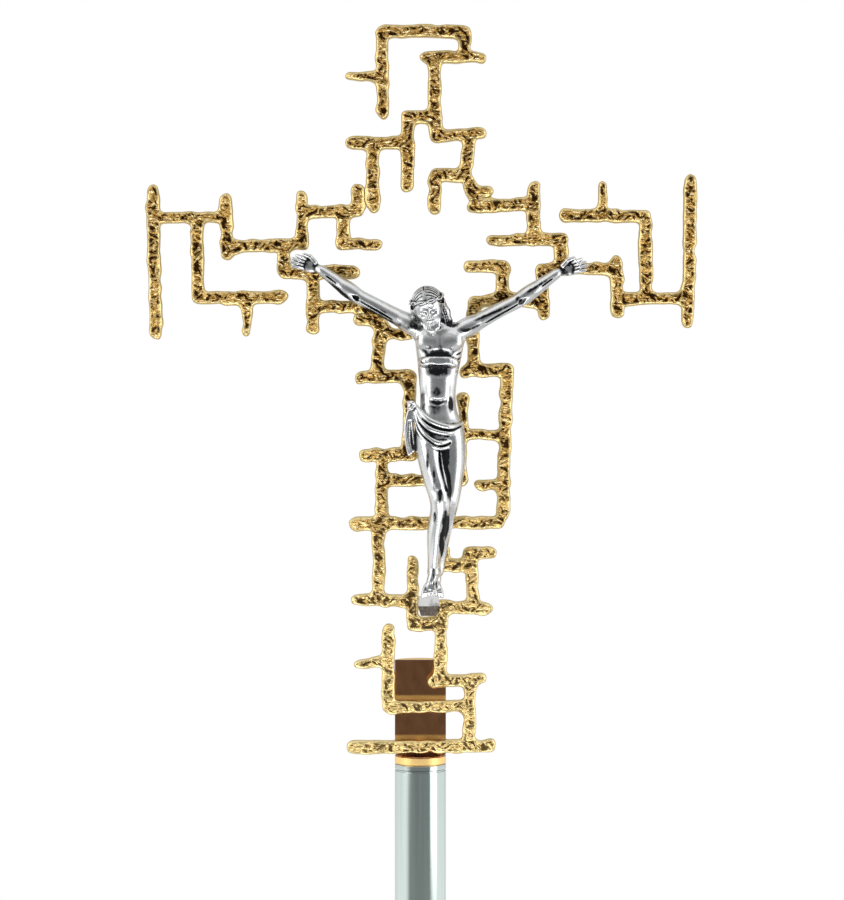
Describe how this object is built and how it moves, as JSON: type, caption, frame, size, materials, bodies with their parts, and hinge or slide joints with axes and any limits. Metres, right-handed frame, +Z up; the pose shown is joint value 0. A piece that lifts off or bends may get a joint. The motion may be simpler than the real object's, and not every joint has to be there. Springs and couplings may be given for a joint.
{
  "type": "processional cross",
  "caption": "Processional cross: an openwork cast crucifix head with a silvered corpus, on a tubular staff of screw-together sections.",
  "frame": {"origin": "middle of the staff's bottom face, on the staff's axis", "axes": "+Z up the staff, the corpus faces -Y, +X towards the corpus's left hand"},
  "size_m": [0.3425, 0.0566, 1.9732],
  "materials": {
    "gilt_casting": "gold-plated casting with a crinkled face and smooth edges",
    "gilt_tang": "gold-plated, turned flange and brushed flat",
    "gilt_screw": "gold-plated",
    "silvered_corpus": "polished silver plate, blackened in the recesses",
    "silvered_nail": "polished silver plate",
    "silver_ring": "satin turned",
    "staff_tube": "satin, drawn along its length",
    "steel_fitting": "turned",
    "steel_screw": "blackened",
    "rubber": "matte"
  },
  "bodies": {
    "staff_lower": {"rubber_foot": "rubber", "foot_plug": "steel_fitting", "lower_tube": "staff_tube", "lower_socket": "steel_fitting", "lower_set_screw": "steel_screw"},
    "lower_ring": {"lower_joint_ring": "silver_ring"},
    "staff_middle": {"middle_plug": "steel_fitting", "middle_tube": "staff_tube", "middle_socket": "steel_fitting", "middle_set_screw": "steel_screw"},
    "upper_ring": {"upper_joint_ring": "silver_ring"},
    "staff_upper": {"upper_plug": "steel_fitting", "upper_tube": "staff_tube", "upper_socket": "steel_fitting", "upper_set_screw": "steel_screw"},
    "top_ring": {"head_ring": "silver_ring"},
    "head": {"tang": "gilt_tang", "tang_screws": "gilt_screw", "tang_spacers": "gilt_screw", "crown_casting": "gilt_casting", "left_arm_casting": "gilt_casting", "right_arm_casting": "gilt_casting", "shaft_casting": "gilt_casting", "lower_shaft_casting": "gilt_casting", "foot_casting": "gilt_casting", "corpus_body": "silvered_corpus", "corpus_right_arm": "silvered_corpus", "corpus_left_arm": "silvered_corpus", "foot_rest": "silvered_corpus", "hand_nails": "silvered_nail", "foot_nail": "silvered_nail"}
  },
  "joints": [
    {"name": "lower_screw_turn", "type": "hinge", "parent": "staff_lower", "child": "lower_ring", "pos_m": [0, 0, 0.5], "axis": [0, 0, 1], "range_deg": [0, 4320]},
    {"name": "lower_screw_rise", "type": "slide", "parent": "lower_ring", "child": "staff_middle", "axis": [0, 0, 1], "range_m": [0, 0.02101]},
    {"name": "upper_screw_turn", "type": "hinge", "parent": "staff_middle", "child": "upper_ring", "pos_m": [0, 0, 1.0044], "axis": [0, 0, 1], "range_deg": [0, 4320]},
    {"name": "upper_screw_rise", "type": "slide", "parent": "upper_ring", "child": "staff_upper", "axis": [0, 0, 1], "range_m": [0, 0.02101]},
    {"name": "head_screw_turn", "type": "hinge", "parent": "staff_upper", "child": "top_ring", "pos_m": [0, 0, 1.5088], "axis": [0, 0, 1], "range_deg": [0, 4320]},
    {"name": "head_screw_rise", "type": "slide", "parent": "top_ring", "child": "head", "axis": [0, 0, 1], "range_m": [0, 0.02101]}
  ],
  "couplings": [
    {"joint": "lower_screw_rise", "follows": "lower_screw_turn", "m_per_rad": 0.00027852},
    {"joint": "upper_screw_rise", "follows": "upper_screw_turn", "m_per_rad": 0.00027852},
    {"joint": "head_screw_rise", "follows": "head_screw_turn", "m_per_rad": 0.00027852}
  ]
}
